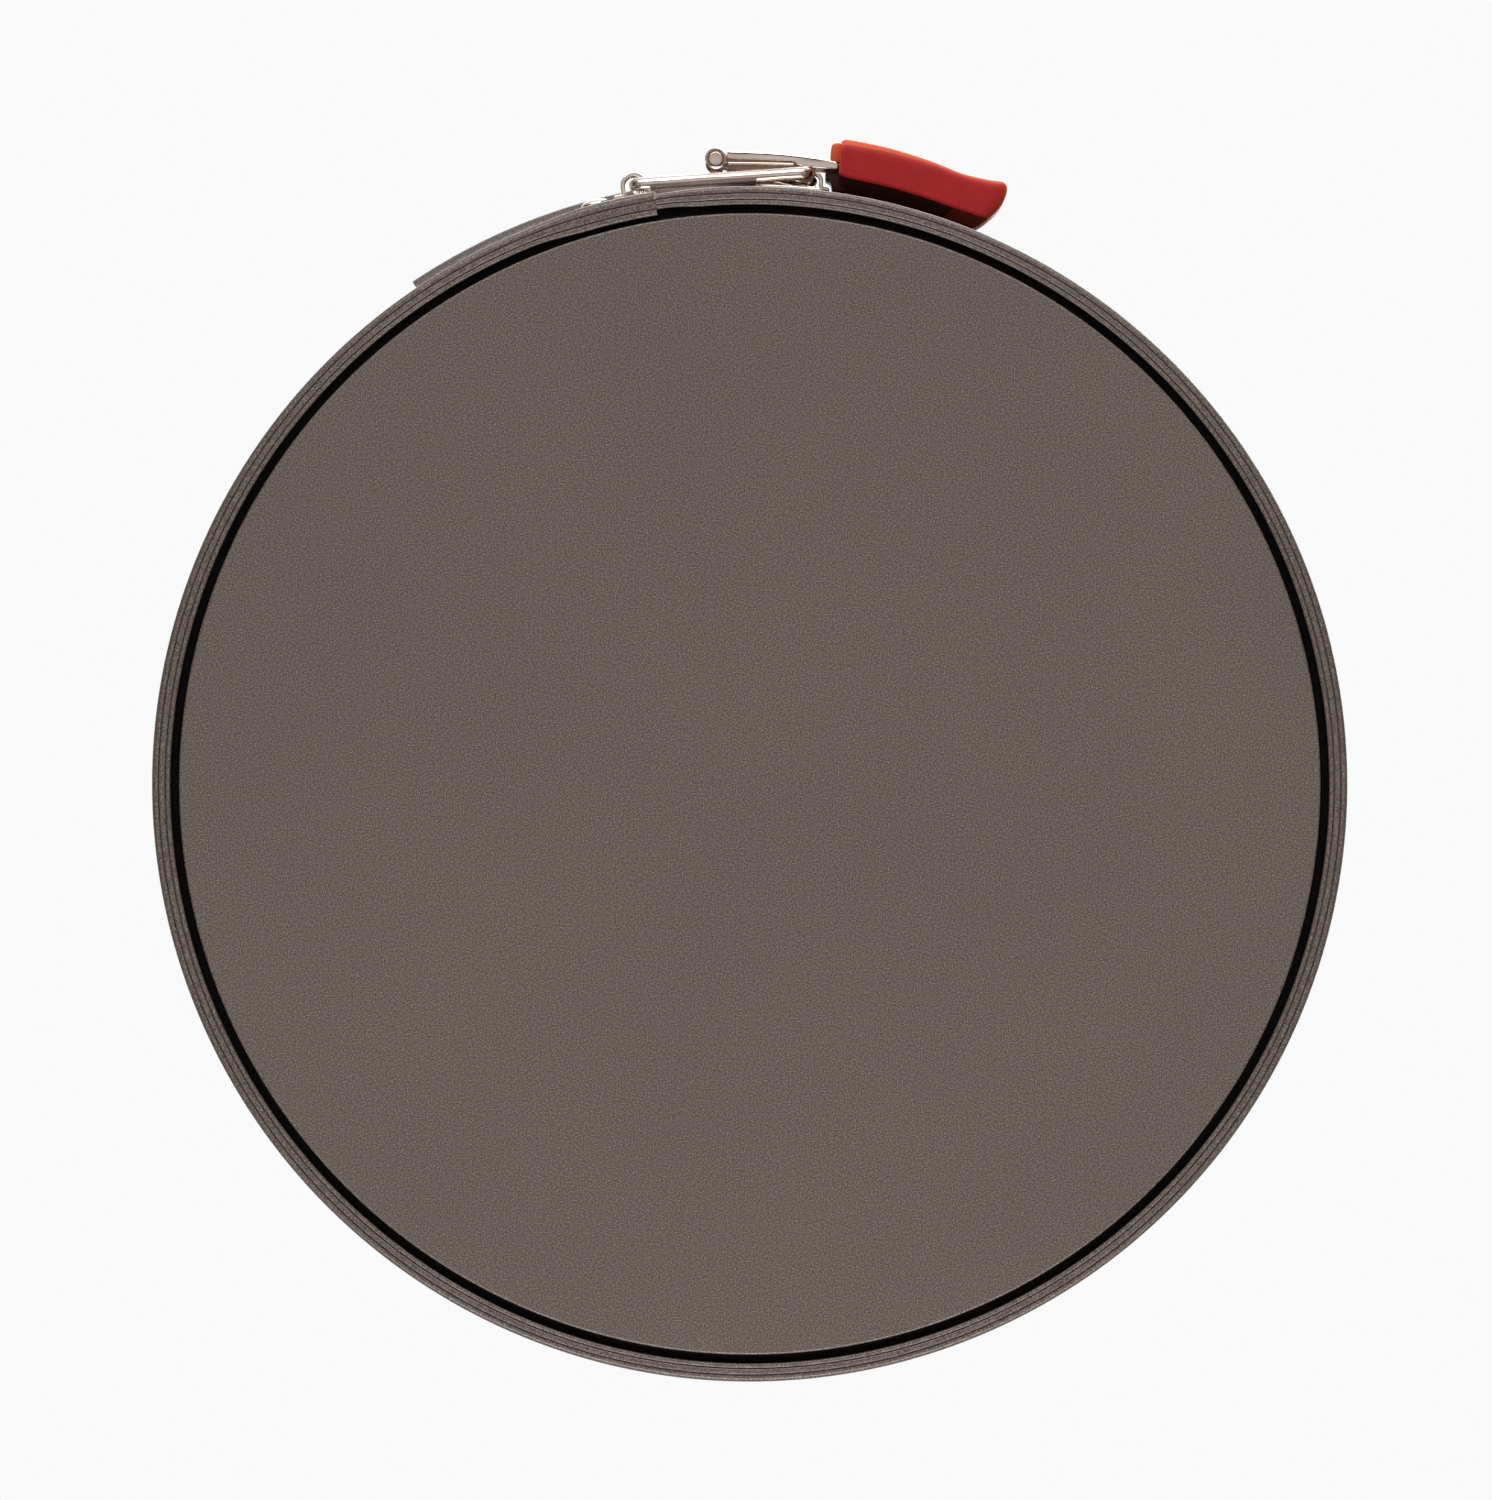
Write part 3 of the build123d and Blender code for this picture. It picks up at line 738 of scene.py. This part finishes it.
catch_base = curved_plate(
    "catch_base", CATCH_PLATE_R, PLATE_SHEET, (253.0, 260.5), PLATE_HALF, PLATE_CORNER_R, PLATING
)
catch_loop = bridge(
    "catch_loop", BAIL_BAR, offset=-0.4, radius=2.3, thickness=0.9, half_width=9.0, plate_top=CATCH_TOP_R
)
hinge_base = curved_plate(
    "hinge_base", HINGE_PLATE_R, PLATE_SHEET, (270.6, 277.4), PLATE_HALF, PLATE_CORNER_R, PLATING
)
hinge_loop = bridge(
    "hinge_loop", LINK_BAR, offset=0.15, radius=1.75, thickness=0.8, half_width=6.2, plate_top=HINGE_TOP_R
)
for piece in (catch_base, catch_loop):
    finished(piece, "ring_left", "plated_steel", "catch_plate")
for piece in (hinge_base, hinge_loop):
    finished(piece, "ring_right", "plated_steel", "hinge_plate")

for kind, angle, radius, spread, head_r, rise, body in (
    ("catch_rivet", 255.0, CATCH_TOP_R, 12.6, 2.7, 1.1, "ring_left"),
    ("hinge_rivet", 272.2, HINGE_TOP_R, 8.0, 2.3, 0.7, "ring_right"),
):
    for place, side in (("low", -1), ("high", 1)):
        height = LATCH_Z + side * spread
        piece = rivet(f"{kind}_{place}_head", angle, radius, height, head_r, rise, PLATING)
        finished(piece, body, "plated_steel", f"{kind}_{place}")


# ------------------------------------------------------------------ wires
def wire_loop(pivot, bar, reach, tip):
    """Corners of a wire loop: in at the pivot, down to the bar and back, reach either side."""
    half = [(*pivot, tip), (*pivot, reach), (*bar, reach)]
    lower = [(x, y, LATCH_Z - z) for x, y, z in half]
    upper = [(x, y, LATCH_Z + z) for x, y, z in reversed(half)]
    return lower + upper


bail_path = filleted(wire_loop(BAIL_PIVOT, BAIL_BAR, reach=12.4, tip=8.9), BAIL_BEND_R, 10)
bail = wire("wire_bail", bail_path, BAIL_WIRE_R, PLATING)
finished(bail, "bail", "plated_steel", "bail_wire", "bail_tip_low", "bail_tip_high")

link_path = filleted(wire_loop(LEVER_PIVOT, LINK_BAR, reach=7.7, tip=10.75), LINK_BEND_R, 8)
link_parts = [wire("link_wire", link_path, LINK_WIRE_R, PLATING)]
for side in (-1, 1):
    z0, z1 = sorted((LATCH_Z + side * 10.3, LATCH_Z + side * 10.8))
    head_outline = arc(*LEVER_PIVOT, 1.38, 0, 350, 35)
    link_parts.append(prism("link_head", head_outline, z0, z1, PLATING, edge=0.12))
link = joined("wire_link", link_parts)
finished(link, "link", "plated_steel", "short_link")


# ------------------------------------------------------------------ lever
web_points = [(-4.3, -127.08), (0.6, -126.9), (5.6, -126.6), (10.0, -126.15), (14.0, -125.6)]
web_outline = sheet_outline(smooth_line(web_points, 6), LEVER_SHEET)
web = prism("web", web_outline, LATCH_Z - LEVER_HALF, LATCH_Z + LEVER_HALF, PLATING, edge=0.3)
tang_line = smooth_line([(13.0, -125.74), (18.0, -124.8), (30.0, -122.0), (42.0, -117.8)], 8)
tang_outline = sheet_outline(tang_line, LEVER_SHEET)
tang = prism("tang", tang_outline, LATCH_Z - TANG_HALF, LATCH_Z + TANG_HALF, PLATING, edge=0.2)
top_points = [(-4.6, -127.45), (0.6, -127.2), (5.6, -126.95)]
top_points += [(10.0, -126.45), (14.0, -125.98), (16.6, -125.5)]
rim_outline = (
    smooth_line(top_points, 4)
    + bezier((17.2, -125.35), (17.95, -125.1), (17.85, -124.5), 5)
    + bezier((17.8, -124.3), (17.7, -123.72), (17.2, -123.75), 5)
    + [(15.2, -123.9), (13.2, -124.05), (11.6, -124.15)]
    + bezier((10.8, -124.2), (9.7, -124.3), (9.35, -124.9), 6)
    + bezier((9.2, -125.1), (8.9, -125.35), (8.2, -125.4), 4)
    + [(5.6, -125.5), (0.6, -125.68), (-4.6, -125.85)]
)
inner_outline = (
    [(-4.6, -126.3), (0.6, -126.2), (5.6, -126.05), (9.0, -125.8), (12.4, -124.7)]
    + arc(*BAIL_PIVOT, 1.9, -50, 130, 18)
    + [(8.8, -122.6), (6.5, -123.0), (2.0, -123.3), (-2.0, -123.5), (-4.6, -123.7)]
)
bead_line = [(-4.2, -124.95), (0.0, -124.92), (4.6, -124.86), (8.6, -124.75)]
bead_outline = sheet_outline(bead_line, 0.62, 6)
boss_outline = arc(*LEVER_PIVOT, 2.12, 0, 350, 35)
eye_section = [(1.62, 9.6), (2.16, 9.6), (2.18, 10.2), (2.08, 10.38)]
eye_section += [(1.86, 10.44), (1.66, 10.36), (1.6, 10.2)]
lever_parts = [web, tang]
# The inner plate and the boss take the dark copy of the plating, painted shade in the lever's recess.
for side in (-1, 1):
    for label, outline, outside, inside, edge, look in (
        ("rim", rim_outline, LEVER_HALF, CHEEK_IN, 0.24, PLATING),
        ("inner", inner_outline, 9.72, CHEEK_IN, 0.1, SHADED_PLATING),
        ("bead", bead_outline, 9.98, 9.5, 0.22, PLATING),
        ("boss", boss_outline, 9.95, CHEEK_IN, 0.15, SHADED_PLATING),
    ):
        z0, z1 = sorted((LATCH_Z + side * outside, LATCH_Z + side * inside))
        lever_parts.append(prism(label, outline, z0, z1, look, edge=edge))
    ring = [(r, LATCH_Z + side * z) for r, z in eye_section]
    eye = turned("eye", [ring] * 48, [7.5 * k for k in range(48)], PLATING, full=True)
    eye.data.transform(Matrix.Translation((LEVER_PIVOT[0] * MM, LEVER_PIVOT[1] * MM, 0)))
    lever_parts.append(eye)
lever = joined("latch_lever", lever_parts)
finished(lever, "lever", "plated_steel", "lever")


# ------------------------------------------------------------------ grip
def along(line, t):
    """The point at this share of a line's length."""
    steps = [math.dist(a, b) for a, b in zip(line, line[1:])]
    want = t * sum(steps)
    for a, b, d in zip(line, line[1:], steps):
        if want <= d:
            return (a[0] + (b[0] - a[0]) * want / d, a[1] + (b[1] - a[1]) * want / d)
        want -= d
    return tuple(line[-1])


def rounding(distance, reach, depth):
    """How far an edge's rounding has dropped at this distance from it."""
    if distance >= reach:
        return 0.0
    return depth * (1 - math.sqrt(max(0.0, 1 - (1 - distance / reach) ** 2)))


# The grip's outline in plan: its back away from the pan, its tip, its front along the wall, its mouth.
back_points = [(23.0, -129.15), (28.8, -127.85), (36.6, -125.35)]
back_points += [(42.4, -122.98), (47.4, -121.72), (50.6, -121.3)]
back = bezier((18.3, -128.6), (18.45, -129.75), (19.6, -129.78), 6) + smooth_line(back_points, 8)
tip_points = [(51.75, -118.8), (51.0, -117.0), (49.7, -115.2)]
tip_points += [(47.6, -113.4), (45.6, -112.1), (44.3, -111.75)]
tip = bezier((50.6, -121.3), (51.7, -121.25), (51.9, -119.9), 6) + smooth_line(tip_points, 5)
front_end = 360 + math.degrees(math.atan2(-111.75, 44.3))
front = bezier((17.75, -120.4), (17.8, -119.0), (19.2, -118.66), 6)
front += arc(0, 0, GRIP_IN_R, 279.6, front_end, 40)[1:]
mouth = [back[0], (18.1, -124.6), front[0]]

# Distances from the back and from the mouth, closer together near the rounded edges.
across = [0, 0.04, 0.15, 0.35, 0.62, 0.95, 1.3, 1.7, 2.4, 3.3, 4.3, 5.3]
across += [6.0, 6.35, 6.6, 6.9, 7.3, 7.8, 8.3, 8.8, 9.2, 9.42, GRIP_DEPTH]
down = [0, 0.03, 0.12, 0.3, 0.55, 0.9] + [1.5 + 0.75 * k for k in range(39)]
down += [30.6, 31.2, 31.7, 32.1, 32.5, 32.8, 32.95, GRIP_LENGTH]

# The plain silicone and its painted-shade, painted-light and tip painted-shade copies.
GRIP_TINTS = (SILICONE, SHADED_SILICONE, LIT_SILICONE, TIP_SHADED_SILICONE)
PLAIN_TINT, SHADED_TINT, LIT_TINT, TIP_SHADED_TINT = range(4)


def grip_plan(u, v):
    """A plan point between the grip's four edges: u from mouth to tip, v from back to front."""
    b, f, m, t = along(back, u), along(front, u), along(mouth, v), along(tip, v)
    point = []
    for k in range(2):
        corners = (1 - u) * ((1 - v) * back[0][k] + v * front[0][k])
        corners += u * ((1 - v) * back[-1][k] + v * front[-1][k])
        point.append((1 - v) * b[k] + v * f[k] + (1 - u) * m[k] + u * t[k] - corners)
    return point


def grip_drop(x, y):
    """How far the grip's side lies below its full width, x from the mouth and y from the back."""
    under = GRIP_DEPTH - y
    shelf = SHELF_DEPTH * (1 - under / SHELF_SPAN) ** 1.1 if under < SHELF_SPAN else 0.0
    end_drops = (rounding(x, 0.7, 0.7), rounding(GRIP_LENGTH - x, 2.0, 1.8))
    drops = (rounding(y, 2.1, 1.6), shelf, *end_drops)
    return math.sqrt(sum(d * d for d in drops))


def grip_tint(x, y):
    """Painted shade, dark, where the side turns to the wall, less dark near the tip; painted light, orange,
    along the back.
    """
    if y > SHADE_FROM:
        return SHADED_TINT if x < SHADE_TO else TIP_SHADED_TINT
    return LIT_TINT if y < LIT_TO else PLAIN_TINT


verts, faces, tints = [], [], []
for side in (-1, 1):
    for x in down:
        for y in across:
            z = LATCH_Z + side * (GRIP_HALF - grip_drop(x, y))
            verts.append((*grip_plan(x / GRIP_LENGTH, y / GRIP_DEPTH), z))
rows, cols = len(down), len(across)
layer_size = rows * cols
for layer in (0, 1):
    for i in range(rows - 1):
        for j in range(cols - 1):
            a = layer * layer_size + i * cols + j
            faces.append((a, a + 1, a + cols + 1, a + cols))
            tints.append(grip_tint(down[i], across[j]))
border = [(i, 0) for i in range(rows - 1)] + [(rows - 1, j) for j in range(cols - 1)]
border += [(i, cols - 1) for i in range(rows - 1, 0, -1)] + [(0, j) for j in range(cols - 1, 0, -1)]
for (i, j), (k, m) in zip(border, border[1:] + border[:1]):
    a, b = i * cols + j, k * cols + m
    faces.append((a, b, b + layer_size, a + layer_size))
    # End faces take painted shade along the front and painted light along the back.
    if j == m == cols - 1:
        tints.append(SHADED_TINT)
    elif j == m == 0:
        tints.append(LIT_TINT)
    else:
        tints.append(PLAIN_TINT)
grip_body = new_object("grip_body", verts, faces, GRIP_TINTS[PLAIN_TINT], 60)
for material in GRIP_TINTS[1:]:
    grip_body.data.materials.append(material)
for polygon, tint in zip(grip_body.data.polygons, tints):
    polygon.material_index = tint

collar_outline = (
    bezier((16.4, -125.2), (16.2, -127.2), (16.5, -128.4), 4)
    + bezier((16.6, -128.7), (16.9, -129.1), (17.7, -129.1), 4)
    + [(19.5, -129.0), (19.5, -125.0)]
)
skirt_outline = [(15.3, -124.5), (19.4, -124.7), (19.4, -119.3)]
skirt_outline += [(16.7, -119.5), (16.4, -121.2), (15.3, -121.9)]
grip_parts = [grip_body]
# The collar takes the painted-light copy of the silicone, and the skirt under the blade takes the
# painted-shade copy.
for name, outline, half, material, edge in (
    ("grip_collar", collar_outline, 9.2, LIT_SILICONE, 0.5),
    ("grip_skirt", skirt_outline, 9.1, SHADED_SILICONE, 0.4),
):
    grip_parts.append(prism(name, outline, LATCH_Z - half, LATCH_Z + half, material, edge, sharp=60))
grip = joined("silicone_handle", grip_parts)
finished(grip, "lever", "red_silicone", "silicone_grip")


# ------------------------------------------------------------------ floor, light and camera
CAMERA_D = 2.6
VIEW_MM = 299.4
SENSOR_MM = 36
CAMERA_SHIFT = (-0.0025, 0.0226)
SIDE_BOX = (1.4, 0.5)
WARM_WHITE = (1.0, 0.985, 0.97)


def stage_floor():
    """A pale floor that shows from above only, so that the pan can be seen from below."""
    mesh = bpy.data.meshes.new("floor")
    mesh.from_pydata([(-3, -3, 0), (3, -3, 0), (3, 3, 0), (-3, 3, 0)], [], [(0, 1, 2, 3)])
    floor = bpy.data.objects.new("floor", mesh)
    bpy.context.scene.collection.objects.link(floor)
    floor.location.z = -0.0002
    m = bpy.data.materials.new("floor_paper")
    m.use_nodes = True
    nodes, links = emptied(m.node_tree)
    out = nodes.new("ShaderNodeOutputMaterial")
    paper = add_node(nodes, "ShaderNodeBsdfPrincipled", {"Roughness": 0.9})
    clear = nodes.new("ShaderNodeBsdfTransparent")
    side = nodes.new("ShaderNodeNewGeometry")
    switch = nodes.new("ShaderNodeMixShader")
    coords = nodes.new("ShaderNodeTexCoord")
    fibre = add_noise(nodes, 300.0)
    tone = add_range(nodes, 0.78, 0.84)
    connect(
        links,
        (coords, "Object", fibre, "Vector"),
        (fibre, "Fac", tone, "Value"),
        (tone, "Result", paper, "Base Color"),
        (side, "Backfacing", switch, "Fac"),
        (paper, "BSDF", switch, 1),
        (clear, "BSDF", switch, 2),
        (switch, "Shader", out, "Surface"),
    )
    mesh.materials.append(m)
    floor.visible_shadow = False
    floor.visible_diffuse = False
    floor.visible_glossy = False


def studio_world():
    """Near-white to the camera; to the rest a dim warm room with bright ground, sky and latch-side wall."""
    world = bpy.data.worlds.new("studio")
    bpy.context.scene.world = world
    world.use_nodes = True
    nodes, links = emptied(world.node_tree)
    out = nodes.new("ShaderNodeOutputWorld")
    page = {"Color": (0.945, 0.955, 0.95, 1), "Strength": 1.0}
    seen = add_node(nodes, "ShaderNodeBackground", page)
    room = add_node(nodes, "ShaderNodeBackground", {"Strength": 1.0})
    coords = nodes.new("ShaderNodeTexCoord")
    parts = nodes.new("ShaderNodeSeparateXYZ")
    room_stops = (
        (0.0, 0.70, 0.66, 0.63),
        (0.02, 0.58, 0.53, 0.50),
        (0.07, 0.27, 0.225, 0.20),
        (0.20, 0.36, 0.32, 0.29),
        (0.34, 0.13, 0.095, 0.08),
        (0.50, 0.045, 0.030, 0.026),
        (0.66, 0.25, 0.21, 0.19),
        (1.0, 0.75, 0.74, 0.73),
    )
    ramp = add_ramp(nodes, room_stops)
    span = add_range(nodes, 0.0, 1.0, start=-1.0)
    path = nodes.new("ShaderNodeLightPath")
    switch = nodes.new("ShaderNodeMixShader")
    sideways = add_node(nodes, "ShaderNodeMath", {1: -1.0}, operation="MULTIPLY")
    walls = add_range(nodes, 0.0, 1.0, start=0.45, stop=0.95)
    walls.interpolation_type = "SMOOTHSTEP"
    lit = add_node(nodes, "ShaderNodeMix", {"B": (0.92, 0.90, 0.87, 1)}, data_type="RGBA")
    connect(
        links,
        (coords, "Generated", parts, "Vector"),
        (parts, "Z", span, "Value"),
        (span, "Result", ramp, "Fac"),
        (parts, "Y", sideways, 0),
        (sideways, "Value", walls, "Value"),
        (walls, "Result", lit, "Factor"),
        (ramp, "Color", lit, "A"),
        (lit, "Result", room, "Color"),
        (path, "Is Camera Ray", switch, "Fac"),
        (room, "Background", switch, 1),
        (seen, "Background", switch, 2),
        (switch, "Shader", out, "Surface"),
    )


def soft_box(name, place, target, size, power, colour=(1, 1, 1)):
    """A rectangular area light at a place, turned to its target, in metres and watts."""
    data = bpy.data.lights.new(name, "AREA")
    data.shape = "RECTANGLE"
    data.size, data.size_y = size
    data.energy = power
    data.color = colour
    obj = bpy.data.objects.new(name, data)
    bpy.context.scene.collection.objects.link(obj)
    obj.location = place
    obj.rotation_mode = "QUATERNION"
    obj.rotation_quaternion = (Vector(target) - Vector(place)).to_track_quat("-Z", "Y")


def camera_below():
    """A camera straight below the pan, looking up."""
    data = bpy.data.cameras.new("camera")
    camera = bpy.data.objects.new("camera", data)
    bpy.context.scene.collection.objects.link(camera)
    camera.location = (0, 0, -CAMERA_D)
    camera.rotation_euler = (math.pi, 0, 0)
    data.sensor_width = SENSOR_MM
    data.lens = SENSOR_MM * CAMERA_D / (VIEW_MM * MM)
    data.shift_x, data.shift_y = CAMERA_SHIFT
    data.clip_start = 0.05
    data.clip_end = 20
    bpy.context.scene.camera = camera


stage_floor()
studio_world()
soft_box("box_latch_side", (0.0, -0.9, -0.55), (0, -0.1, 0.0), SIDE_BOX, 9, WARM_WHITE)
soft_box("box_back_side", (0.0, 0.9, -0.55), (0, 0.1, 0.0), SIDE_BOX, 15, WARM_WHITE)
soft_box("box_above", (0.3, -0.5, 1.1), (0, 0, 0.03), (1.2, 1.2), 14)
camera_below()
bpy.context.scene.view_settings.view_transform = "Standard"
